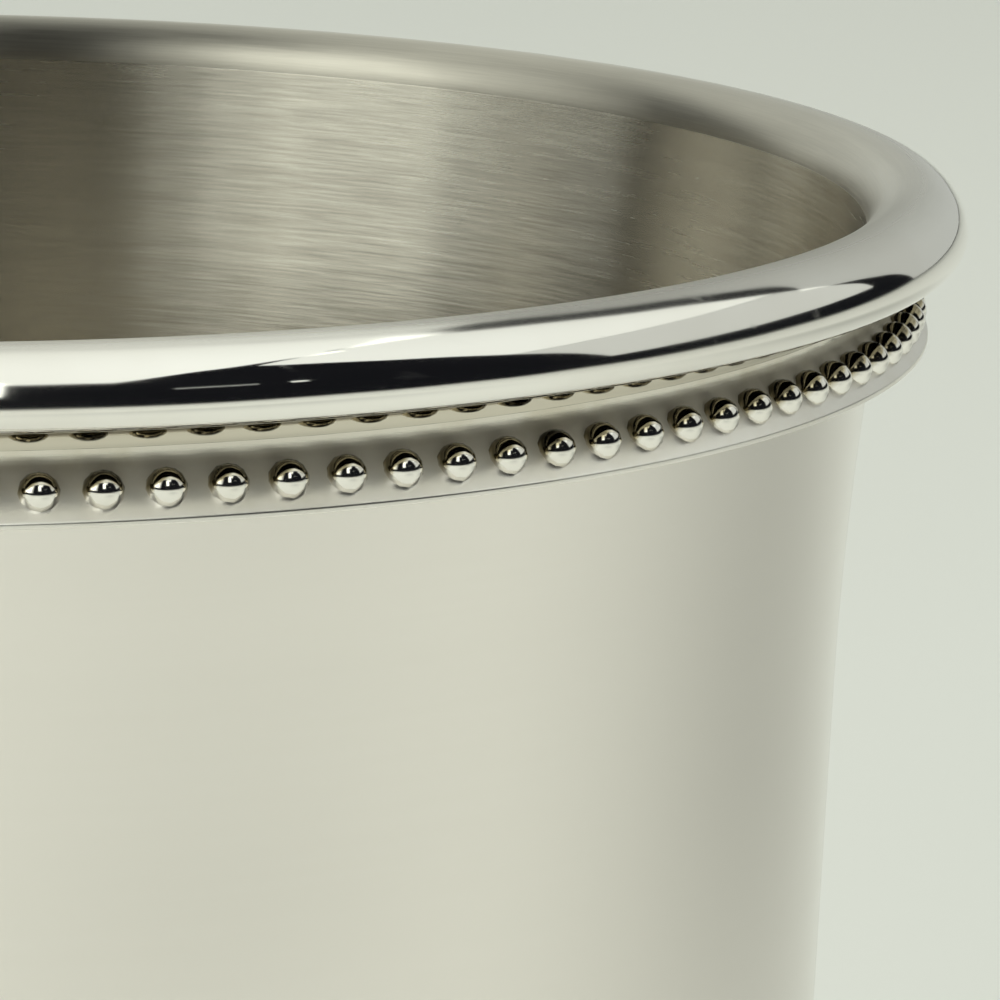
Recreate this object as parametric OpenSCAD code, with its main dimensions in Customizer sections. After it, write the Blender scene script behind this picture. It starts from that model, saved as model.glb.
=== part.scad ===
// Julep cup of sheet metal: a tapered wall with a flared mouth, a rounded lip over a beaded band,
// and a moulded foot with a matching beaded band. Millimetres, +Z up, with the origin at the middle
// of the face that the cup stands on.

/* [Wall] */
// Height from the table to the top of the lip
cup_height = 100; // [85:1:120]
// Diameter over the lip
rim_diameter = 84; // [76:1:96]
// Thickness of the wall's sheet
wall_thickness = 0.9; // [0.7:0.05:1.1]
// Lean of the wall's long straight part, in degrees
wall_lean = 1.5; // [0.5:0.1:3]
// Lean of the mouth under the lip, in degrees
mouth_lean = 6; // [5:0.1:8]
// Height of the mouth's straight part, from the wall's top edge
mouth_length = 8.2; // [7:0.1:10]
// Radius of the curve between the mouth and the long straight part
flare_radius = 128; // [60:2:180]

/* [Lip] */
// Radius of the lip's round top
lip_radius = 1.94; // [1.7:0.02:2.2]
// Rounding of the lip's lower outer edge
lip_corner = 0.76; // [0.5:0.02:1]
// Width of the flat between the lip's outer edge and its hollow
lip_land = 0.44; // [0.3:0.02:0.7]
// Radius of the fillet that flares from the lip's collar
lip_fillet = 1; // [0.85:0.01:1.1]
// How far the fillet turns before the lip's hollow starts, in degrees
lip_fillet_turn = 50; // [40:1:60]

/* [Beaded bands] */
// Thickness of a band's plain back where it is thinnest
band_thickness = 0.34; // [0.3:0.02:0.5]
// Height of the plain back, from the moulding that the band meets
back_height = 0.32; // [0.24:0.02:0.44]
// Radius of the cove between the back and the shelf
cove_radius = 0.5; // [0.4:0.02:0.7]
// Slope of the shelf that carries the beads, in degrees
shelf_slope = 47; // [40:1:50]
// How far a band's flange stands out from its back
flange_width = 1.46; // [1.3:0.02:1.7]
// Thickness of the flange at its edge
flange_thickness = 0.18; // [0.12:0.02:0.3]
// Diameter of a bead
bead_diameter = 1.42; // [1.2:0.02:1.5]
// Height of the beads' middles above the moulding
bead_height = 1.26; // [1.1:0.02:1.4]
// How far a bead's middle stands out from the back
bead_proud = 0.68; // [0.56:0.02:0.76]
// Beads round the mouth
rim_bead_count = 120; // [90:1:136]
// Beads round the foot
foot_bead_count = 110; // [84:1:124]

/* [Foot] */
// Height of the foot ring
foot_height = 2.8; // [2.4:0.1:4]
// How far the foot ring stands out from its band's back
foot_overhang = 2.2; // [1.6:0.1:3]
// Height of the ledge that the wall and the base plate stand on
ledge_height = 1.4; // [1:0.1:1.8]
// Width of the ledge under the base plate
ledge_width = 2; // [1.5:0.1:4]
// Thickness of the base plate
base_thickness = 1.2; // [0.8:0.1:2]
// Solder gap between the base plate's edge and the wall
base_gap = 0.05; // [0.03:0.01:0.2]

/* [Hidden] */
$fn = 96;
bead_facets = 16;
flare_facets = 360;

// Outward normal of a face that leans out by an angle as it rises, as [radius, height]
function outward(lean) = [cos(lean), -sin(lean)];
// Outer radius of the mouth's straight part, and of the wall's long straight part, at a height
function mouth_radius(z) = mouth_face.x + (z - mouth_face.y) * tan(mouth_lean);
function wall_radius(z) = flare_bottom.x + (z - flare_bottom.y) * tan(wall_lean);

// Lip: its round top carries on from the inside of the mouth, where the wall's edge stops
rim_radius = rim_diameter / 2;
lip_middle = [rim_radius - lip_radius, cup_height - lip_radius];
lip_edge = [rim_radius - lip_corner, lip_middle.y];
lip_under = lip_middle.y - lip_corner;
wall_top = lip_middle.y + lip_radius * sin(mouth_lean);

// Wall: a point on the mouth's outer face, then the ends and the middle of the flare's arc
mouth_face = lip_middle - (lip_radius - wall_thickness) * outward(mouth_lean);
flare_top = [mouth_radius(wall_top - mouth_length), wall_top - mouth_length];
flare_middle = flare_top + flare_radius * outward(mouth_lean);
flare_bottom = flare_middle - flare_radius * outward(wall_lean);

// Bands: the section as [distance from the back, height], then the radii of each band's inner face and back
cove_end = [cove_radius * (1 - sin(shelf_slope)), back_height + cove_radius * cos(shelf_slope)];
shelf_end = cove_end.y + (flange_width - cove_end.x) * tan(shelf_slope);
band_height = shelf_end + flange_thickness;
rim_edge = lip_under - lip_fillet;
rim_near = mouth_radius(rim_edge);
rim_far = mouth_radius(rim_edge - band_height);
rim_face = rim_near + band_thickness;
foot_near = wall_radius(foot_height);
foot_far = wall_radius(foot_height + band_height);
foot_face = foot_far + band_thickness;

// Hollow in the lip's underside, whose roof is as thick as the wall's sheet
hollow_near = rim_face + lip_fillet * (1 - cos(lip_fillet_turn));
hollow_width = lip_edge.x - lip_land - hollow_near;
hollow_middle = [hollow_near + hollow_width / 2, cup_height - wall_thickness - hollow_width / 2];

// Foot
foot_nose = foot_height / 2;
foot_radius = foot_face + foot_overhang;
base_radius = wall_radius(ledge_height) - wall_thickness / cos(wall_lean) - base_gap;
ledge_radius = base_radius - ledge_width;

// All that lies inside the wall's outer face, or inside a face that is set in from it
module inside_wall(inset, low, high) {
    flare = flare_radius + inset;
    difference() {
        polygon([
            [0, low],
            [wall_radius(low) - inset / cos(wall_lean), low],
            flare_middle - flare * outward(wall_lean),
            flare_middle - flare * outward(mouth_lean),
            [mouth_radius(high) - inset / cos(mouth_lean), high],
            [0, high]
        ]);
        translate(flare_middle) circle(flare, $fn = flare_facets);
    }
}

module cup_wall() {
    color("gainsboro") rotate_extrude() difference() {
        inside_wall(0, ledge_height, wall_top);
        inside_wall(wall_thickness, 0, cup_height);
    }
}

// Lip with a half-round top, a hollow underside and a collar round the wall, rebated over the wall's top edge
module rim_roll() {
    inner = lip_middle.x - lip_radius;
    color("whitesmoke") rotate_extrude() difference() {
        union() {
            intersection() {
                translate(lip_middle) circle(lip_radius);
                translate([0, lip_middle.y]) square(rim_diameter);
            }
            intersection() {
                translate(lip_edge) circle(lip_corner);
                translate(lip_edge - [0, rim_diameter]) square(rim_diameter);
            }
            translate([inner, lip_under]) square([lip_edge.x - inner, lip_corner]);
            translate([inner, rim_edge]) square([hollow_near - inner, lip_fillet]);
        }
        polygon([[0, 0], [mouth_radius(0), 0], [mouth_radius(wall_top), wall_top], [0, wall_top]]);
        translate([rim_face + lip_fillet, rim_edge]) circle(lip_fillet);
        translate(hollow_middle) circle(d = hollow_width);
        translate([hollow_near, 0]) square([hollow_width, hollow_middle.y]);
    }
}

// Band that starts at height 0 on a moulding and rises to its flange's edge, with its beads on the shelf.
// Its inner face runs from the radius near to the radius far
module bead_band(near, far, face, count) {
    flange = face + flange_width;
    rotate_extrude() difference() {
        polygon([
            [near, 0],
            [face, 0],
            [face, back_height],
            [face + cove_end.x, cove_end.y],
            [flange, shelf_end],
            [flange, band_height],
            [far, band_height]
        ]);
        translate([face + cove_radius, back_height]) circle(cove_radius);
    }
    for (i = [0 : count - 1])
        rotate(360 * i / count)
            translate([face + bead_proud, 0, bead_height])
                sphere(d = bead_diameter, $fn = bead_facets);
}

module rim_bead_band() {
    color("silver") translate([0, 0, rim_edge]) mirror([0, 0, 1])
        bead_band(rim_near, rim_far, rim_face, rim_bead_count);
}

module foot_bead_band() {
    color("silver") translate([0, 0, foot_height])
        bead_band(foot_near, foot_far, foot_face, foot_bead_count);
}

module base_plate() {
    color("lightgray") translate([0, 0, ledge_height]) cylinder(r = base_radius, h = base_thickness);
}

// Ring with a round nose, a collar round the wall's foot and a ledge under the wall and the base plate
module foot_ring() {
    nose_middle = [foot_radius - foot_nose, foot_nose];
    color("whitesmoke") rotate_extrude() {
        polygon([
            [ledge_radius, 0],
            [nose_middle.x, 0],
            [nose_middle.x, foot_height],
            [foot_near, foot_height],
            [wall_radius(ledge_height), ledge_height],
            [ledge_radius, ledge_height]
        ]);
        intersection() {
            translate(nose_middle) circle(foot_nose);
            translate(nose_middle - [0, foot_height]) square(2 * foot_height);
        }
    }
}

cup_wall();
rim_roll();
rim_bead_band();
base_plate();
foot_ring();
foot_bead_band();
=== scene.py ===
import math

import bpy
import numpy as np
from mathutils import Matrix, Vector


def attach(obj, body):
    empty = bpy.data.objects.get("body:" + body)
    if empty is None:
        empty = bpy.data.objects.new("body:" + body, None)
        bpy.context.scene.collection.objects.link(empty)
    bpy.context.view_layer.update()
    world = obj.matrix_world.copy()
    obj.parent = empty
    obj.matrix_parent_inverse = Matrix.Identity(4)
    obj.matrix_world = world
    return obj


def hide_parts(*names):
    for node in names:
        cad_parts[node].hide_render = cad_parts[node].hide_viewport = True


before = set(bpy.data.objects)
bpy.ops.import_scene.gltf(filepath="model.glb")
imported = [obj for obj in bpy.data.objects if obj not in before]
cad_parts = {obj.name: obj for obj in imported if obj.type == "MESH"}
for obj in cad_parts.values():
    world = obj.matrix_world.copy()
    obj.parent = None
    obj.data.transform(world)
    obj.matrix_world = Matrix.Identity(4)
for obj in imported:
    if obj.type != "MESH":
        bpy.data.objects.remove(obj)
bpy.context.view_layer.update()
scene = bpy.context.scene
scene.view_settings.view_transform = "Standard"
print("cup loaded:", len(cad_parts), "nodes")


# the cup's sizes are in millimetres and its angles in degrees; a profile is rows of (radius, height)
millimetre = 0.001
tiny = 1e-9  # a length that counts as nothing


def sinOf(angle):
    return math.sin(math.radians(angle))


def cosOf(angle):
    return math.cos(math.radians(angle))


def tanOf(angle):
    return math.tan(math.radians(angle))


def ramp(value, low, high):
    # 0 at low and beyond it, 1 at high and beyond it, and even between them
    return np.clip((value - low) / (high - low), 0, 1)


def straight(start, end, steps=10):
    # a line whose points crowd towards both ends: share = (1 - cos(pi t)) / 2
    share = (1 - np.cos(np.pi * np.linspace(0, 1, steps)))[:, None] / 2
    return np.array(start, float) * (1 - share) + np.array(end, float) * share


def arc(middle, radius, start, end, steps=24):
    # middle + radius * (cos a, sin a), with a running evenly from start to end
    angle = np.radians(np.linspace(start, end, steps))
    return np.array(middle, float) + radius * np.stack([np.cos(angle), np.sin(angle)], 1)


def trimmed(run, head, tail, margin=1.05):
    # the same run with a length cut off at its head and its tail, and no old point close beside a cut
    length = np.concatenate([[0], np.cumsum(np.linalg.norm(np.diff(run, axis=0), axis=1))])
    inner = length[(length > head * margin + tiny) & (length < length[-1] - tail * margin - tiny)]
    at = np.concatenate([[head], inner, [length[-1] - tail]])
    return np.stack([np.interp(at, length, run[:, 0]), np.interp(at, length, run[:, 1])], 1)


def outline(runs, ease, closed=True, steps=7, sameSpot=1e-6):
    # runs joined end to end; the corner after run k is eased by a parabola,
    # which starts and ends at a distance of ease[k] from it
    count = len(runs)
    corners = count if closed else count - 1
    cut = [ease[k] if k < corners else 0 for k in range(count)]
    t = np.linspace(0, 1, steps + 2)[1:-1, None]
    rows = []
    for k, run in enumerate(runs):
        stretch = trimmed(run, cut[k - 1] if (k or closed) else 0, cut[k])
        rows.append(stretch)
        if cut[k] > 0:
            after = trimmed(runs[(k + 1) % count], cut[k], cut[(k + 1) % count])[0]
            rows.append((1 - t) ** 2 * stretch[-1] + 2 * t * (1 - t) * run[-1] + t ** 2 * after)
    path = np.vstack(rows)
    gap = np.linalg.norm(path - np.roll(path, 1, axis=0), axis=1)
    keep = gap > sameSpot
    keep[0] = keep[0] or not closed
    return path[keep]


def spunGrid(path, turns, closed=True):
    # path carried round the Z axis: (r cos a, r sin a, z), with a in equal steps
    angle = np.arange(turns)[:, None] * 2 * np.pi / turns
    r, z = path[:, 0] * millimetre, path[:, 1] * millimetre
    points = np.stack([np.cos(angle) * r, np.sin(angle) * r, np.broadcast_to(z, (turns, len(z)))], 2)
    index = np.arange(turns * len(r)).reshape(turns, len(r))
    index = np.where(r[None, :] < tiny, index[:1], index)  # a row on the axis becomes one point
    here = index if closed else index[:, :-1]
    above = np.roll(index, -1, axis=1) if closed else index[:, 1:]
    quads = np.stack([here, np.roll(here, -1, 0), np.roll(above, -1, 0), above], 2)
    return points.reshape(-1, 3), quads.reshape(-1, 4)


def meshFrom(name, points, quads, sharp=28):
    # points that no face uses are dropped, and a quad with a doubled corner becomes a triangle
    used, quads = np.unique(quads, return_inverse=True)
    quads = quads.reshape(-1, 4)
    doubled = (quads == np.roll(quads, -1, 1)).any(1)
    thin = quads[doubled]
    order = np.argmax(thin == np.roll(thin, -1, 1), axis=1)
    corners = (order[:, None] + np.arange(1, 4)) % 4
    faces = quads[~doubled].tolist() + np.take_along_axis(thin, corners, 1).tolist()
    mesh = bpy.data.meshes.new(name)
    mesh.from_pydata(points[used].tolist(), [], faces)
    mesh.polygons.foreach_set("use_smooth", np.ones(len(mesh.polygons), bool))
    mesh.set_sharp_from_angle(angle=math.radians(sharp))
    mesh.update()
    return mesh, used


def pointValue(mesh, name, values):
    layer = mesh.attributes.new(name, "FLOAT", "POINT")
    layer.data.foreach_set("value", np.asarray(values, np.float32))


def place(name, mesh, finishes, node):
    piece = bpy.data.objects.new(name, mesh)
    scene.collection.objects.link(piece)
    for finish in finishes:
        mesh.materials.append(finish)
    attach(piece, "root")
    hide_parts(node)
    print("made", name, len(mesh.polygons), "faces")


def nodeIn(tree, kind, links=(), **values):
    # a new node: values set its own settings, and each link is a socket with its source or its plain value
    node = tree.nodes.new(kind)
    for key, value in values.items():
        setattr(node, key, value)
    for socket, source in links:
        if hasattr(source, "is_linked"):
            tree.links.new(source, node.inputs[socket])
        else:
            node.inputs[socket].default_value = source
    return node


def mathOf(tree, operation, first, second):
    return nodeIn(tree, "ShaderNodeMath", [(0, first), (1, second)], operation=operation).outputs[0]


def spread(tree, source, low, high, fromLow=0.3, fromHigh=0.7):
    # source carried from fromLow and fromHigh, about where noise ends, to low and high
    ends = [("From Min", fromLow), ("From Max", fromHigh), ("To Min", low), ("To Max", high)]
    return nodeIn(tree, "ShaderNodeMapRange", [("Value", source), *ends]).outputs[0]


def blend(tree, share, first, second, mode="MIX"):
    # first goes over to second as share goes from 0 to 1; a plain colour is three numbers
    colours = [value if hasattr(value, "is_linked") else (*value, 1.0) for value in (first, second)]
    links = [(0, share), (6, colours[0]), (7, colours[1])]
    return nodeIn(tree, "ShaderNodeMix", links, data_type="RGBA", blend_type=mode).outputs[2]


def newGroup(name, inputs, outputs):
    # inputs and outputs give each socket's name with its kind
    group = bpy.data.node_groups.new(name, "ShaderNodeTree")
    for side, sockets in (("INPUT", inputs), ("OUTPUT", outputs)):
        for label, kind in sockets.items():
            group.interface.new_socket(name=label, in_out=side, socket_type="NodeSocket" + kind)
    return group, group.nodes.new("NodeGroupInput"), group.nodes.new("NodeGroupOutput")


grain = {
    "Fine": {"squeeze": 1.0, "turn": 1.0, "detail": 3.0},
    "Coarse": {"squeeze": 0.17, "turn": 0.4, "detail": 2.0},
    "roughness": 0.6,
}


def turnedLinesGroup():
    # lines that run round the cup: noise squeezed along radius + height and stretched along the turn
    group, given, made = newGroup(
        "turnedLines",
        {"Vector": "Vector", "Lines per metre": "Float", "Turn scale": "Float"},
        {"Fine": "Float", "Coarse": "Float"},
    )
    apart = nodeIn(group, "ShaderNodeSeparateXYZ", [(0, given.outputs["Vector"])])
    level = nodeIn(group, "ShaderNodeCombineXYZ", [(0, apart.outputs[0]), (1, apart.outputs[1])]).outputs[0]
    radius = nodeIn(group, "ShaderNodeVectorMath", [(0, level)], operation="LENGTH").outputs["Value"]
    run = mathOf(group, "ADD", radius, apart.outputs[2])
    for label in ("Fine", "Coarse"):
        rise = mathOf(group, "MULTIPLY", given.outputs["Lines per metre"], grain[label]["squeeze"])
        along = mathOf(group, "MULTIPLY", run, rise)
        turn = mathOf(group, "MULTIPLY", given.outputs["Turn scale"], grain[label]["turn"])
        flat = nodeIn(group, "ShaderNodeVectorMath", [(0, level), (3, turn)], operation="SCALE").outputs[0]
        lift = nodeIn(group, "ShaderNodeCombineXYZ", [(2, along)]).outputs[0]
        where = nodeIn(group, "ShaderNodeVectorMath", [(0, flat), (1, lift)], operation="ADD").outputs[0]
        noise = nodeIn(group, "ShaderNodeTexNoise", [
            ("Vector", where), ("Scale", 1.0),
            ("Detail", grain[label]["detail"]), ("Roughness", grain["roughness"]),
        ])
        group.links.new(noise.outputs[0], made.inputs[label])
    return group


wear = {
    "blotDetail": 4.0, "blotRoughness": 0.55, "blotEnds": (0.42, 0.72),
    "hairTurn": (0.5, 0.35, 0.8), "hairScale": (60.0, 1500.0, 1500.0), "hairEnds": (0.7, 0.78),
}


def handlingGroup():
    # marks of handling: soft blots, and hairlines where a stretched noise passes a threshold
    group, given, made = newGroup(
        "handling",
        {"Vector": "Vector", "Blot scale": "Float"},
        {"Blots": "Float", "Hairlines": "Float"},
    )
    blot = nodeIn(group, "ShaderNodeTexNoise", [
        ("Vector", given.outputs["Vector"]), ("Scale", given.outputs["Blot scale"]),
        ("Detail", wear["blotDetail"]), ("Roughness", wear["blotRoughness"]),
    ])
    soft = nodeIn(group, "ShaderNodeMapRange", [
        ("Value", blot.outputs[0]), ("From Min", wear["blotEnds"][0]), ("From Max", wear["blotEnds"][1]),
    ], interpolation_type="SMOOTHSTEP")
    tilt = nodeIn(group, "ShaderNodeMapping", [
        ("Vector", given.outputs["Vector"]), ("Rotation", wear["hairTurn"]), ("Scale", wear["hairScale"]),
    ])
    hair = nodeIn(group, "ShaderNodeTexNoise", [("Vector", tilt.outputs[0]), ("Scale", 1.0), ("Detail", 1.0)])
    group.links.new(soft.outputs[0], made.inputs["Blots"])
    group.links.new(spread(group, hair.outputs[0], 0, 1, *wear["hairEnds"]), made.inputs["Hairlines"])
    return group


tarnishAndShadeTones = {"brown": (0.46, 0.40, 0.27), "black": (0.035, 0.03, 0.022)}


def tarnishAndShadeGroup():
    # clean metal that turns brown up to half the amount, then nearly black: painted shade in the hollows,
    # with some tarnish
    group, given, made = newGroup("tarnishAndShade", {"Clean": "Color", "Amount": "Float"}, {"Colour": "Color"})
    first = spread(group, given.outputs["Amount"], 0, 1, 0, 0.5)
    second = spread(group, given.outputs["Amount"], 0, 1, 0.5, 1)
    brown = blend(group, first, given.outputs["Clean"], tarnishAndShadeTones["brown"])
    group.links.new(blend(group, second, brown, tarnishAndShadeTones["black"]), made.inputs["Colour"])
    return group


turnedLines = turnedLinesGroup()
handling = handlingGroup()
tarnishAndShade = tarnishAndShadeGroup()


def newFinish(name):
    finish = bpy.data.materials.new(name)
    finish.use_nodes = True
    tree = finish.node_tree
    tree.nodes.clear()
    end = tree.nodes.new("ShaderNodeOutputMaterial")
    metal = tree.nodes.new("ShaderNodeBsdfPrincipled")
    tree.links.new(metal.outputs[0], end.inputs[0])
    metal.inputs["Metallic"].default_value = 1.0
    where = tree.nodes.new("ShaderNodeTexCoord").outputs["Object"]
    return finish, tree, metal, where


def linesAndMarks(tree, where, make):
    # the turned lines and the marks of handling, at a finish's own scales
    lines = nodeIn(tree, "ShaderNodeGroup", node_tree=turnedLines)
    marks = nodeIn(tree, "ShaderNodeGroup", node_tree=handling)
    for node in (lines, marks):
        tree.links.new(where, node.inputs["Vector"])
    lines.inputs["Lines per metre"].default_value = make["linesPerMetre"]
    lines.inputs["Turn scale"].default_value = make["turnScale"]
    marks.inputs["Blot scale"].default_value = make["blotScale"]
    return lines.outputs, marks.outputs


# darkens clean metal by an amount: painted shade, with some tarnish
def tarnishedAndShaded(tree, clean, amount):
    links = [("Clean", clean), ("Amount", amount)]
    return nodeIn(tree, "ShaderNodeGroup", links, node_tree=tarnishAndShade).outputs["Colour"]


def carried(tree, name):
    # a value that the mesh carries at its points
    return nodeIn(tree, "ShaderNodeAttribute", attribute_name=name).outputs["Fac"]


def lineTone(tree, lines, fineShare=0.6):
    # 0 to 1 over the lines: the fine ones give their share, and the coarse ones the rest
    fine = spread(tree, lines["Fine"], 0, fineShare)
    return mathOf(tree, "ADD", fine, spread(tree, lines["Coarse"], 0, 1 - fineShare))


def blotted(tree, rough, marks, more):
    # roughness with more of it on the blots
    return mathOf(tree, "ADD", rough, spread(tree, marks["Blots"], 0, more, 0, 1))


def bumped(tree, height, make, under=()):
    # a bump with its strength and its depth in metres; under may link the normal that it lies on
    links = [("Height", height), ("Strength", make["bump"]), ("Distance", make["bumpDepth"]), *under]
    return nodeIn(tree, "ShaderNodeBump", links).outputs[0]


def dress(tree, metal, colour, rough, normal):
    for label, source in (("Base Color", colour), ("Roughness", rough), ("Normal", normal)):
        tree.links.new(source, metal.inputs[label])


def brushRound(tree, metal, amount, quarterTurn=0.25):
    # highlights drawn out across lines that run round the cup
    tangent = nodeIn(tree, "ShaderNodeTangent", direction_type="RADIAL", axis="Z")
    tree.links.new(tangent.outputs[0], metal.inputs["Tangent"])
    metal.inputs["Anisotropic"].default_value = amount
    metal.inputs["Anisotropic Rotation"].default_value = quarterTurn


brushed = {
    "pale": (0.77, 0.73, 0.64), "deep": (0.61, 0.575, 0.50), "rough": (0.20, 0.27), "blotRough": 0.04,
    "linesPerMetre": 9000.0, "turnScale": 280.0, "blotScale": 60.0,
    "bump": 0.06, "bumpDepth": 0.00003, "drawn": 0.96,
}


def brushedLook(tree, where):
    # tone, roughness and lines of metal that is brushed round the cup
    lines, marks = linesAndMarks(tree, where, brushed)
    colour = blend(tree, lineTone(tree, lines), brushed["deep"], brushed["pale"])
    rough = blotted(tree, spread(tree, lines["Fine"], *brushed["rough"]), marks, brushed["blotRough"])
    return colour, rough, lines


def brushedFinish():
    finish, tree, metal, where = newFinish("brushedInside")
    colour, rough, lines = brushedLook(tree, where)
    dress(tree, metal, colour, rough, bumped(tree, lines["Fine"], brushed))
    brushRound(tree, metal, brushed["drawn"])
    return finish


satin = {
    "colour": (0.885, 0.845, 0.80), "shade": (0.875, 0.835, 0.788), "rough": (0.14, 0.17), "blotRough": 0.03,
    "linesPerMetre": 4500.0, "turnScale": 40.0, "blotScale": 45.0,
    "bump": 0.02, "bumpDepth": 0.00002, "drawn": 0.4,
}


def satinFinish():
    # soft polish outside, with a faint grain round the wall
    finish, tree, metal, where = newFinish("satinOutside")
    lines, marks = linesAndMarks(tree, where, satin)
    colour = blend(tree, spread(tree, lines["Fine"], 0, 1), satin["shade"], satin["colour"])
    rough = blotted(tree, spread(tree, lines["Coarse"], *satin["rough"]), marks, satin["blotRough"])
    dress(tree, metal, colour, rough, bumped(tree, lines["Fine"], satin))
    brushRound(tree, metal, satin["drawn"])
    return finish


mirror = {
    "colour": (0.95, 0.925, 0.885), "dull": (0.91, 0.88, 0.835),
    "rough": (0.035, 0.065), "blotRough": 0.03, "hairRough": 0.08,
    "linesPerMetre": 9000.0, "turnScale": 25.0, "blotScale": 110.0, "bump": 0.02, "bumpDepth": 0.00002,
}


def mirrorLook(tree, where):
    # tone, roughness and lines of a mirror polish, rougher on blots and hairlines
    lines, marks = linesAndMarks(tree, where, mirror)
    colour = blend(tree, marks["Blots"], mirror["colour"], mirror["dull"])
    rough = blotted(tree, spread(tree, lines["Fine"], *mirror["rough"]), marks, mirror["blotRough"])
    hair = spread(tree, marks["Hairlines"], 0, mirror["hairRough"], 0, 1)
    return colour, mathOf(tree, "ADD", rough, hair), lines


def mirrorFinish():
    finish, tree, metal, where = newFinish("mirrorMoulding")
    colour, rough, lines = mirrorLook(tree, where)
    dress(tree, metal, colour, rough, bumped(tree, lines["Coarse"], mirror))
    return finish


lipMetal = {
    "dull": (0.76, 0.76, 0.76), "rougher": 0.13, "drawn": 0.9, "waveScale": 170.0,
    "wave": {"bump": 0.35, "bumpDepth": 0.0001}, "lines": {"bump": 0.1, "bumpDepth": 0.00005},
}


def lipFinish():
    # a mirror with faint waves outside, dull and brushed inside, and darkened by painted shade in the hollow
    # underneath and on the collar;
    # the mesh carries the share of brushing and of the painted shade
    finish, tree, metal, where = newFinish("lipPolish")
    brush = carried(tree, "brush")
    outside, outsideRough = mirrorLook(tree, where)[:2]
    inside, insideRough, lines = brushedLook(tree, where)
    inside = blend(tree, 1.0, inside, lipMetal["dull"], "MULTIPLY")
    insideRough = mathOf(tree, "ADD", insideRough, lipMetal["rougher"])
    colour = tarnishedAndShaded(tree, blend(tree, brush, outside, inside), carried(tree, "hollow"))
    ends = [(0, brush), (2, outsideRough), (3, insideRough)]
    rough = nodeIn(tree, "ShaderNodeMix", ends, data_type="FLOAT").outputs[0]
    waves = [("Vector", where), ("Scale", lipMetal["waveScale"]), ("Detail", 1.0)]
    wave = bumped(tree, nodeIn(tree, "ShaderNodeTexNoise", waves).outputs[0], lipMetal["wave"])
    height = mathOf(tree, "MULTIPLY", lines["Fine"], brush)
    dress(tree, metal, colour, rough, bumped(tree, height, lipMetal["lines"], [("Normal", wave)]))
    brushRound(tree, metal, lipMetal["drawn"])
    return finish


beaded = {
    "colour": (0.94, 0.91, 0.86), "dull": (0.90, 0.865, 0.80), "rough": (0.85, 0.09), "lineRough": 0.04,
    "kept": (0.7, 1.0),  # share of the painted shade and tarnish that is left between the blots, and on them
    "linesPerMetre": 9000.0, "turnScale": 60.0, "blotScale": 400.0, "bump": 0.05, "bumpDepth": 0.00003,
}


def beadedFinish():
    # polished beads, with painted shade and some tarnish kept in the hollows and painted dark crescents on
    # the beads; the mesh carries the shade and the polish
    finish, tree, metal, where = newFinish("beadedStrip")
    lines, marks = linesAndMarks(tree, where, beaded)
    share = spread(tree, marks["Blots"], *beaded["kept"], 0, 1)
    # the hollow value is painted shade with some tarnish
    kept = mathOf(tree, "MULTIPLY", carried(tree, "hollow"), share)
    clean = blend(tree, marks["Blots"], beaded["colour"], beaded["dull"])
    rough = spread(tree, carried(tree, "polish"), *beaded["rough"], 0, 1)
    rough = mathOf(tree, "ADD", rough, spread(tree, lines["Fine"], 0, beaded["lineRough"]))
    dress(tree, metal, tarnishedAndShaded(tree, clean, kept), rough, bumped(tree, marks["Blots"], beaded))
    return finish


turned = {
    "colour": (0.84, 0.805, 0.745), "shade": (0.74, 0.705, 0.645), "rough": (0.22, 0.36), "blotRough": 0.06,
    "linesPerMetre": 3500.0, "turnScale": 20.0, "blotScale": 50.0,
    "bump": 0.15, "bumpDepth": 0.00005, "drawn": 0.7,
}


def turnedFinish():
    # fine rings from turning, on the base plate
    finish, tree, metal, where = newFinish("turnedBase")
    lines, marks = linesAndMarks(tree, where, turned)
    colour = blend(tree, lineTone(tree, lines), turned["shade"], turned["colour"])
    rough = blotted(tree, spread(tree, lines["Fine"], *turned["rough"]), marks, turned["blotRough"])
    dress(tree, metal, colour, rough, bumped(tree, lines["Fine"], turned))
    brushRound(tree, metal, turned["drawn"])
    return finish


brushedInside, satinOutside, mirrorMoulding = brushedFinish(), satinFinish(), mirrorFinish()
lipPolish, beadedStrip, turnedBase = lipFinish(), beadedFinish(), turnedFinish()
print("finishes ready")


cup = {"rimRadius": 42.0, "height": 100.0, "ledge": 1.4}  # the ledge carries the wall and the base plate
wall = {
    "turns": 384, "thickness": 0.9, "lean": 1.5, "mouthLean": 6.0, "mouthLength": 8.2, "flareRadius": 128.0,
    "ease": (0.05, 0.01, 0.05, 0.05),
}
lip = {
    "turns": 448, "radius": 1.94, "corner": 0.76, "land": 0.44, "fillet": 1.0, "filletTurn": 50.0,
    "ease": (0.01, 0.03, 0.0, 0.0, 0.03, 0.0, 0.005, 0.05, 0.03),
    "brushFrom": 38.0, "brushTo": 110.0,  # angles over the crest between which the brushing fades in
    "collarTarnish": 0.3, "collarShare": 0.8,  # how dark the painted shade on the collar is, and up to what share of the fillet
}
lipMiddle = np.array([cup["rimRadius"] - lip["radius"], cup["height"] - lip["radius"]])
wallTop = lipMiddle[1] + lip["radius"] * sinOf(wall["mouthLean"])


def outward(lean):
    # outward normal of a face that leans out as it rises: (cos lean, -sin lean)
    return np.array([cosOf(lean), -sinOf(lean)])


def mouthRadius(height):
    # straight outer face of the mouth, one sheet out from where the lip's half round ends
    face = lipMiddle - (lip["radius"] - wall["thickness"]) * outward(wall["mouthLean"])
    return face[0] + (height - face[1]) * tanOf(wall["mouthLean"])


# the flare's arc touches the mouth's straight at its top and the wall's long straight at its bottom
flareTop = wallTop - wall["mouthLength"]
flareMiddle = np.array([mouthRadius(flareTop), flareTop]) + wall["flareRadius"] * outward(wall["mouthLean"])


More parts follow.
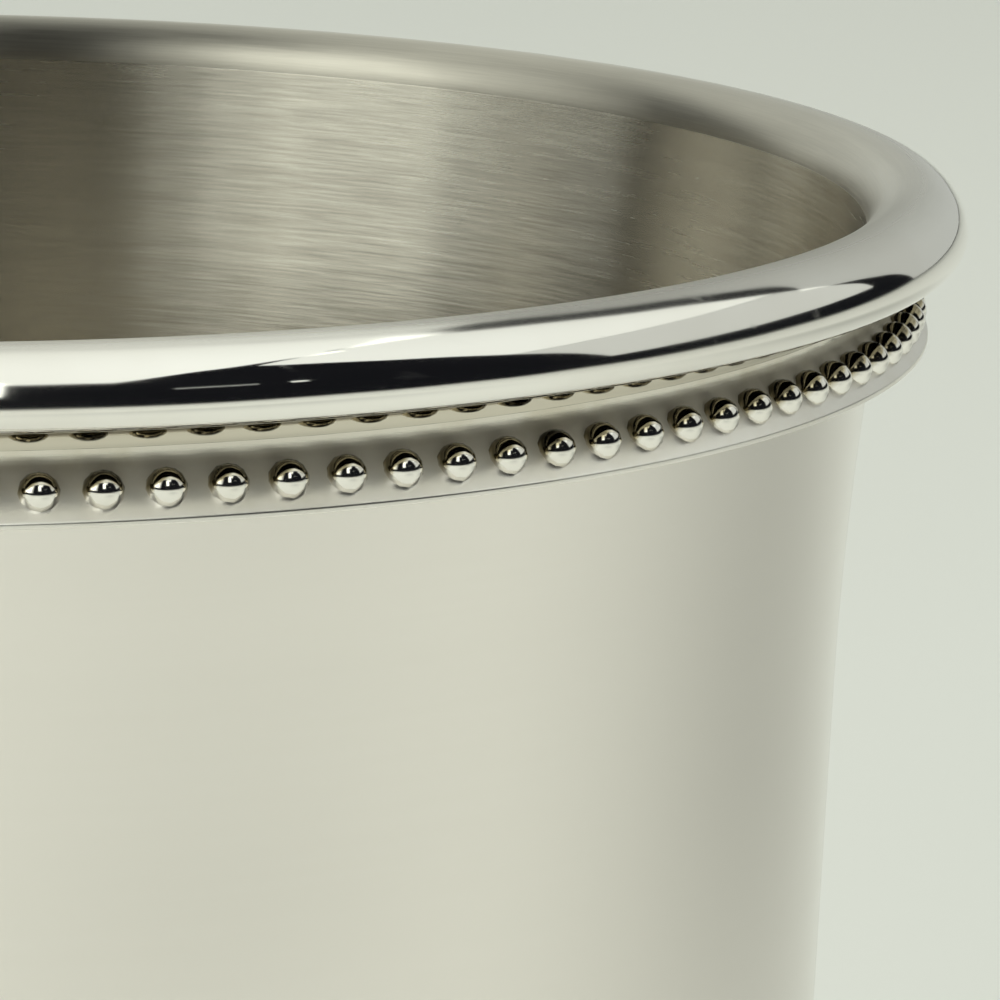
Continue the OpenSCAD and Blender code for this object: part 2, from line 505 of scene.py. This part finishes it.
def wallRadius(height):
    # long straight outer face of the wall, down from the flare's lower end
    end = flareMiddle - wall["flareRadius"] * outward(wall["lean"])
    return end[0] + (height - end[1]) * tanOf(wall["lean"])


def cupWall():
    # a section that is spun: outer face up, over the top edge, inner face down;
    # each face is a straight, the flare's arc and a straight
    flare, inset, lean, mouthLean = wall["flareRadius"], wall["thickness"], wall["lean"], wall["mouthLean"]
    outer = arc(flareMiddle, flare, 180 - lean, 180 - mouthLean, 40)
    inner = arc(flareMiddle, flare + inset, 180 - mouthLean, 180 - lean, 40)
    footOut, topOut = (wallRadius(cup["ledge"]), cup["ledge"]), (mouthRadius(wallTop), wallTop)
    footIn = (footOut[0] - inset / cosOf(lean), footOut[1])
    topIn = (topOut[0] - inset / cosOf(mouthLean), topOut[1])
    up = np.vstack([straight(footOut, outer[0], 40)[:-1], outer[:-1], straight(outer[-1], topOut, 16)])
    down = np.vstack([straight(topIn, inner[0], 16)[:-1], inner[:-1], straight(inner[-1], footIn, 40)])
    path = outline([up, straight(topOut, topIn, 4), down, straight(footIn, footOut, 4)], wall["ease"])
    mesh = meshFrom("cupWall", *spunGrid(path, wall["turns"]))[0]
    place("cupWall", mesh, [satinOutside, brushedInside], "cup_wall")
    normals = np.zeros(len(mesh.polygons) * 3, np.float32)
    mesh.polygons.foreach_get("normal", normals)
    centres = np.zeros(len(mesh.polygons) * 3, np.float32)
    mesh.polygons.foreach_get("center", centres)
    facing = (normals.reshape(-1, 3)[:, :2] * centres.reshape(-1, 3)[:, :2]).sum(1)
    inside = (facing < 0).astype(np.int32)  # faces that look towards the axis are brushed
    mesh.polygons.foreach_set("material_index", inside)


band = {
    "turns": 384, "thickness": 0.34, "back": 0.32, "cove": 0.5, "slope": 47.0,
    "flangeWidth": 1.46, "flange": 0.18, "ease": (0.0, 0.0, 0.05, 0.05, 0.02, 0.02), "sharp": 40,
    "beadOut": 0.68, "beadRise": 1.26, "beadDiameter": 1.42,
    "beadSides": 12, "beadRows": (0, 24, 48, 72, 96, 180),  # rows of points, as angles from the outer pole
}
coveEnd = (band["cove"] * (1 - sinOf(band["slope"])), band["back"] + band["cove"] * cosOf(band["slope"]))
bandHeight = coveEnd[1] + (band["flangeWidth"] - coveEnd[0]) * tanOf(band["slope"]) + band["flange"]
rimEdge = lipMiddle[1] - lip["corner"] - lip["fillet"]
rimFace = mouthRadius(rimEdge) + band["thickness"]


def rimLip():
    # a section that is spun: a collar on the wall, a fillet that flares from it, a round-topped hollow,
    # a small round at the outer edge, then a half round over to the inside of the mouth;
    # brush = smooth step of the angle round the half round
    corner, fillet = lip["corner"], lip["fillet"]
    seat, top = (mouthRadius(rimEdge), rimEdge), (mouthRadius(wallTop), wallTop)
    near = rimFace + fillet * (1 - cosOf(lip["filletTurn"]))
    far = cup["rimRadius"] - corner - lip["land"]
    roof = cup["height"] - wall["thickness"]
    flare = arc((rimFace + fillet, rimEdge), fillet, 180, 180 - lip["filletTurn"], 14)
    cave = arc(((near + far) / 2, roof - (far - near) / 2), (far - near) / 2, 180, 0, 24)
    nose = np.vstack([
        arc((cup["rimRadius"] - corner, lipMiddle[1]), corner, -90, 0, 18)[:-1],
        arc(lipMiddle, lip["radius"], 0, 180 - wall["mouthLean"], 72),
    ])
    land = (far, nose[0, 1])
    runs = [
        straight(seat, (rimFace, rimEdge), 4), flare, straight(flare[-1], cave[0], 6), cave,
        straight(cave[-1], land, 6), straight(land, nose[0], 3), nose, straight(nose[-1], top, 5),
        straight(top, seat, 8),
    ]
    path = outline(runs, lip["ease"])
    mesh, used = meshFrom("rimLip", *spunGrid(path, lip["turns"]))
    r, z = path[:, 0], path[:, 1]
    angle = np.degrees(np.arctan2(z - lipMiddle[1], r - lipMiddle[0]))
    share = ramp(angle, lip["brushFrom"], lip["brushTo"])
    pointValue(mesh, "brush", np.tile(share * share * (3 - 2 * share), lip["turns"])[used])
    slack = 0.01  # room for points that lie on the hollow's own edges
    # painted shade: the hollow under the lip is darkened, and the collar below it more faintly
    inHollow = (r > near - slack) & (r < far + slack) & (z < roof + slack)
    onCollar = lip["collarTarnish"] * ((r < near) & (z < rimEdge + lip["collarShare"] * fillet))
    pointValue(mesh, "hollow", np.tile(np.maximum(inHollow, onCollar), lip["turns"])[used])
    place("rimLip", mesh, [lipPolish], "rim_roll")


def beadGrid(ringRadius, height, count, up):
    # a ball on each of count equal turns: p runs from the outer pole to the inner one and q round it, as
    # (cos p, sin p cos q, sin p sin q) times the ball's radius; the pole leans to be square to the shelf
    p = np.radians(np.array(band["beadRows"], float))
    q = np.arange(band["beadSides"]) * 2 * np.pi / band["beadSides"]
    pole = np.repeat(np.cos(p), len(q))
    side = (np.sin(p)[:, None] * np.cos(q)).reshape(-1)
    third = (np.sin(p)[:, None] * np.sin(q)).reshape(-1)
    lean = 90 - band["slope"]
    out = pole * cosOf(lean) + up * third * sinOf(lean)
    rise = third * cosOf(lean) - up * pole * sinOf(lean)
    ball = np.stack([out, side, rise], 1) * band["beadDiameter"] / 2 + np.array([ringRadius, 0, height])
    angle = np.arange(count)[:, None] * 2 * np.pi / count
    points = np.stack([
        ball[:, 0] * np.cos(angle) - ball[:, 1] * np.sin(angle),
        ball[:, 0] * np.sin(angle) + ball[:, 1] * np.cos(angle),
        np.broadcast_to(ball[:, 2], (count, len(ball))),
    ], 2) * millimetre
    index = np.arange(len(p) * len(q)).reshape(len(p), len(q))
    index[0] = index[0, 0]
    index[-1] = index[-1, 0]
    beside = np.roll(index, -1, 1)
    quads = np.stack([index[:-1], index[1:], beside[1:], beside[:-1]], 2).reshape(-1, 4)
    quads = np.arange(count)[:, None, None] * len(ball) + quads
    values = [np.tile(value, count) for value in (np.abs(side), rise, pole)]
    return points.reshape(-1, 3), quads.reshape(-1, 4), values


bandShadeAndPolish = {
    "tarnishAndShade": (0.26, 0.18), "shelf": (0.26, 0.76),  # amount of painted shade, with some tarnish, on back and shelf, and heights between them
    "behind": -0.02, "reach": 1.05,  # distances out from the back where the painted shade starts and ends
    "backPolish": (0.5, 0.1),  # heights between which the back's polish fades in
    "flangePolish": 0.75, "flange": (0.6, 1.1),  # its amount, and distances between which it fades in
    "beadSide": 0.8, "beadCrook": (0.72, 0.92), "beadNear": (0.05, 0.2),  # shares of a ball's radius
    "beadRoot": -0.5,  # the share of the radius down to which a ball is polished
}


def beadBand(name, make, node):
    # a section that is spun, with heights from the moulding: a plain back, a cove's arc, a straight shelf
    # and a flange's edge; balls stand on the shelf, and where up is -1 the band hangs
    face, edge, up = make["face"], make["edge"], make["up"]
    near, far = make["radius"](edge), make["radius"](edge + up * bandHeight)
    cove = arc((face + band["cove"], band["back"]), band["cove"], 180, 90 + band["slope"], 24)
    flange, shelfEnd = face + band["flangeWidth"], bandHeight - band["flange"]
    runs = [
        straight((near, 0), (face, 0), 5),
        np.vstack([straight((face, 0), cove[0], 6)[:-1], cove]),
        straight(cove[-1], (flange, shelfEnd), 14),
        straight((flange, shelfEnd), (flange, bandHeight), 5),
        straight((flange, bandHeight), (far, bandHeight), 10),
        straight((far, bandHeight), (near, 0), 6),
    ]
    path = outline(runs, band["ease"], steps=6)[::up]  # reversed where it hangs, so that faces point out
    out, level = path[:, 0] - face, path[:, 1].copy()
    path[:, 1] = edge + up * level
    points, quads = spunGrid(path, band["turns"])
    ringRadius, beadHeight = face + band["beadOut"], edge + up * band["beadRise"]
    balls, ballQuads, (side, rise, pole) = beadGrid(ringRadius, beadHeight, make["beads"], up)
    quads = np.vstack([quads, ballQuads + len(points)])
    mesh, used = meshFrom(name, np.vstack([points, balls]), quads, band["sharp"])

    # painted shade, with some tarnish, fades outwards along the section; a painted dark crescent sits at the
    # sides of each ball that face the moulding
    onBack, onShelf = bandShadeAndPolish["tarnishAndShade"]
    hollowShade = onBack + (onShelf - onBack) * ramp(level, *bandShadeAndPolish["shelf"])
    hollowShade = hollowShade * (1 - ramp(out, 0, bandShadeAndPolish["reach"])) * (out > bandShadeAndPolish["behind"])
    # the dark crescent on each ball is painted shade
    nearSide = -up * rise
    crook = ramp(nearSide + bandShadeAndPolish["beadSide"] * side, *bandShadeAndPolish["beadCrook"])
    ballCrescentShade = crook * ramp(nearSide, *bandShadeAndPolish["beadNear"])
    pointValue(mesh, "hollow", np.concatenate([np.tile(hollowShade, band["turns"]), ballCrescentShade])[used])

    # the back, the flange and the balls above their roots are polished
    onFlange = bandShadeAndPolish["flangePolish"] * ramp(out, *bandShadeAndPolish["flange"])
    plain = np.tile(np.maximum(ramp(level, *bandShadeAndPolish["backPolish"]), onFlange), band["turns"])
    pointValue(mesh, "polish", np.concatenate([plain, pole > bandShadeAndPolish["beadRoot"]])[used])
    place(name, mesh, [beadedStrip], node)


base = {
    "turns": 256, "thickness": 1.2, "gap": 0.05, "ease": (0.05, 0.0, 0.02, 0.0),
    "solder": 0.55, "solderOut": 0.063,  # radius of the solder's fillet, and its reach past the plate's edge
    "solderFrom": 0.1,  # how far below the plate's top it starts
}
baseRadius = wallRadius(cup["ledge"]) - wall["thickness"] / cosOf(wall["lean"]) - base["gap"]


def basePlate():
    # a section that is spun: a disc's straights, and an arc for the fillet of solder that runs up the wall
    under, top, fillet = cup["ledge"], cup["ledge"] + base["thickness"], base["solder"]
    hollow = arc((baseRadius + base["solderOut"] - fillet, top + fillet), fillet, -90, 0, 14)
    start = (baseRadius, top - base["solderFrom"])
    runs = [
        straight((0, under), (baseRadius, under), 24),
        straight((baseRadius, under), start, 5),
        straight(start, hollow[-1], 4),
        hollow[::-1],
        straight(hollow[0], (0, top), 40),
    ]
    path = outline(runs, base["ease"], closed=False)
    mesh = meshFrom("basePlate", *spunGrid(path, base["turns"], closed=False))[0]
    place("basePlate", mesh, [turnedBase], "base_plate")


foot = {
    "turns": 384, "height": 2.8, "overhang": 2.2, "ledgeWidth": 2.0,
    "ease": (0.0, 0.0, 0.04, 0.04, 0.12, 0.12),
}
footFace = wallRadius(foot["height"] + bandHeight) + band["thickness"]


def footRing():
    # a section that is spun: a flat standing face, a half-round nose, a flat top, a seat for the wall's foot,
    # and the ledge under the wall and the plate
    height, ledge, noseRadius = foot["height"], cup["ledge"], foot["height"] / 2
    nose = arc((footFace + foot["overhang"] - noseRadius, noseRadius), noseRadius, -90, 90, 48)
    inner, collar, wallFoot = baseRadius - foot["ledgeWidth"], wallRadius(height), wallRadius(ledge)
    runs = [
        straight((inner, 0), nose[0], 14),
        nose,
        straight(nose[-1], (collar, height), 8),
        straight((collar, height), (wallFoot, ledge), 5),
        straight((wallFoot, ledge), (inner, ledge), 8),
        straight((inner, ledge), (inner, 0), 6),
    ]
    mesh = meshFrom("footRing", *spunGrid(outline(runs, foot["ease"]), foot["turns"]))[0]
    place("footRing", mesh, [mirrorMoulding], "foot_ring")


rimBandMake = {"face": rimFace, "edge": rimEdge, "radius": mouthRadius, "up": -1, "beads": 120}
footBandMake = {"face": footFace, "edge": foot["height"], "radius": wallRadius, "up": 1, "beads": 110}

cupWall()
rimLip()
beadBand("rimBand", rimBandMake, "rim_bead_band")
basePlate()
footRing()
beadBand("footBand", footBandMake, "foot_bead_band")


# the stage is in metres
floorMake = {
    "half": 9.0, "colour": (0.89, 0.89, 0.85), "rough": 0.9, "shine": 0.1,
    "shades": (
        {"middle": (0.30, 0.14, 0), "reach": 0.26, "share": 0.34},
        {"middle": (0.2, -0.32, 0), "reach": 0.24, "share": 0.2},
    ),
}


def paleFloor():
    # one flat square with two soft shades: colour times 1 - share, where share = smooth step of the distance
    # from a shade's middle, down to nothing at its reach
    half = floorMake["half"]
    corners = [(-half, -half, 0), (half, -half, 0), (half, half, 0), (-half, half, 0)]
    mesh = bpy.data.meshes.new("paleFloor")
    mesh.from_pydata(corners, [], [(0, 1, 2, 3)])
    floor = bpy.data.objects.new("paleFloor", mesh)
    scene.collection.objects.link(floor)
    finish = bpy.data.materials.new("paleFloor")
    finish.use_nodes = True
    tree = finish.node_tree
    surface = tree.nodes["Principled BSDF"]
    where = tree.nodes.new("ShaderNodeTexCoord").outputs["Object"]
    colour = floorMake["colour"]
    for shade in floorMake["shades"]:
        ends = [(0, where), (1, shade["middle"])]
        away = nodeIn(tree, "ShaderNodeVectorMath", ends, operation="DISTANCE").outputs["Value"]
        share = nodeIn(tree, "ShaderNodeMapRange", [
            ("Value", away), ("From Max", shade["reach"]), ("To Min", shade["share"]), ("To Max", 0.0),
        ], interpolation_type="SMOOTHSTEP").outputs[0]
        colour = blend(tree, share, colour, (0.0, 0.0, 0.0))
    tree.links.new(colour, surface.inputs["Base Color"])
    surface.inputs["Roughness"].default_value = floorMake["rough"]
    surface.inputs["Specular IOR Level"].default_value = floorMake["shine"]
    mesh.materials.append(finish)


# a lamp with a middle hangs level there; any other faces the mouth from a turn, which counts from the front
# towards +X, and a rise; floorFill lights the floor and stays out of the metal's reflections
lampColour, mouthMiddle = (0.96, 1.0, 0.92), (0, 0, 0.09)
lamps = (
    {"name": "topLamp", "middle": (0.5, -1.1, 2.3), "size": (1.15, 2.4), "radiance": 1.0},
    {"name": "overLamp", "middle": (0.55, 0.75, 2.3), "size": (0.9, 1.3), "radiance": 1.0},
    {"name": "backTop", "middle": (-0.1, 2.0, 2.3), "size": (2.0, 1.8), "radiance": 0.75},
    {"name": "rightHigh", "turn": 98, "rise": 50.5, "away": 2.4, "size": (2.0, 1.24), "radiance": 0.9},
    {"name": "rightLow", "turn": 98, "rise": 23, "away": 2.4, "size": (2.0, 1.09), "radiance": 0.62},
    {"name": "leftCard", "turn": -66, "rise": 30, "away": 2.4, "size": (0.99, 1.9), "radiance": 2.2},
    {"name": "leftStep", "turn": -81.5, "rise": 30, "away": 2.4, "size": (0.4, 1.9), "radiance": 0.4},
    {"name": "leftEdge", "turn": -49.5, "rise": 30, "away": 2.4, "size": (0.49, 1.9), "radiance": 1.35},
    {"name": "leftFade", "turn": -40, "rise": 30, "away": 2.4, "size": (0.36, 1.9), "radiance": 0.55},
    {"name": "leftBack", "turn": -93, "rise": 30, "away": 2.4, "size": (1.4, 1.9), "radiance": 1.15},
    {"name": "backLeft", "turn": -145, "rise": 46, "away": 2.6, "size": (1.0, 1.6), "radiance": 0.42},
    {"name": "backCard", "turn": 174, "rise": 20, "away": 3.4, "size": (7.0, 2.6), "radiance": 0.49},
    {"name": "backFar", "turn": -164, "rise": 20, "away": 3.4, "size": (3.0, 2.6), "radiance": 0.24},
    {"name": "frontLamp", "turn": 3, "rise": 34, "away": 2.3, "size": (0.6, 1.1), "radiance": 1.6},
    {"name": "smallLamp", "turn": 33, "rise": 26, "away": 2.2, "size": (0.3, 0.06), "radiance": 0.4},
    {"name": "tinyLamp", "turn": 42, "rise": 25.5, "away": 2.2, "size": (0.06, 0.07), "radiance": 1.2},
    {"name": "floorFill", "middle": (0.05, -0.5, 1.2), "size": (0.8, 0.8), "radiance": 2.25, "glossy": False},
)


def softLamp(make):
    # an area lamp whose power gives its face the wanted radiance: radiance * pi * area
    lamp = bpy.data.lights.new(make["name"], "AREA")
    lamp.shape = "RECTANGLE"
    lamp.size, lamp.size_y = make["size"]
    lamp.energy = make["radiance"] * math.pi * make["size"][0] * make["size"][1]
    lamp.color = lampColour
    holder = bpy.data.objects.new(make["name"], lamp)
    scene.collection.objects.link(holder)
    holder.visible_camera = False
    holder.visible_glossy = make.get("glossy", True)
    if "middle" in make:
        holder.location = make["middle"]
    else:
        turn, rise = make["turn"], make["rise"]
        toward = Vector((sinOf(turn) * cosOf(rise), -cosOf(turn) * cosOf(rise), sinOf(rise)))
        holder.location = Vector(mouthMiddle) + toward * make["away"]
        holder.rotation_euler = toward.to_track_quat("Z", "Y").to_euler()


darkRoom = {"colour": (0.007, 0.0075, 0.009, 1)}


def roomLight():
    world = bpy.data.worlds.new("darkRoom")
    scene.world = world
    world.use_nodes = True
    world.node_tree.nodes["Background"].inputs[0].default_value = darkRoom["colour"]


cameraMake = {
    "place": (-0.00398, -0.20746, 0.13232), "along": (0.13255, 0.96720, -0.21669),
    "up": (0.00696, 0.21771, 0.97599), "lens": 193.49, "sensor": 36.0, "clip": (0.01, 50.0),
}


def photoCamera():
    along, up = Vector(cameraMake["along"]).normalized(), Vector(cameraMake["up"]).normalized()
    right = along.cross(up).normalized()
    turn = Matrix((right, right.cross(along), -along)).transposed().to_4x4()
    camera = bpy.data.cameras.new("photoCamera")
    camera.sensor_width, camera.lens = cameraMake["sensor"], cameraMake["lens"]
    camera.clip_start, camera.clip_end = cameraMake["clip"]
    holder = bpy.data.objects.new("photoCamera", camera)
    scene.collection.objects.link(holder)
    holder.matrix_world = Matrix.Translation(Vector(cameraMake["place"])) @ turn
    scene.camera = holder


paleFloor()
for make in lamps:
    softLamp(make)
roomLight()
photoCamera()
print("stage ready:", len(lamps), "lamps")
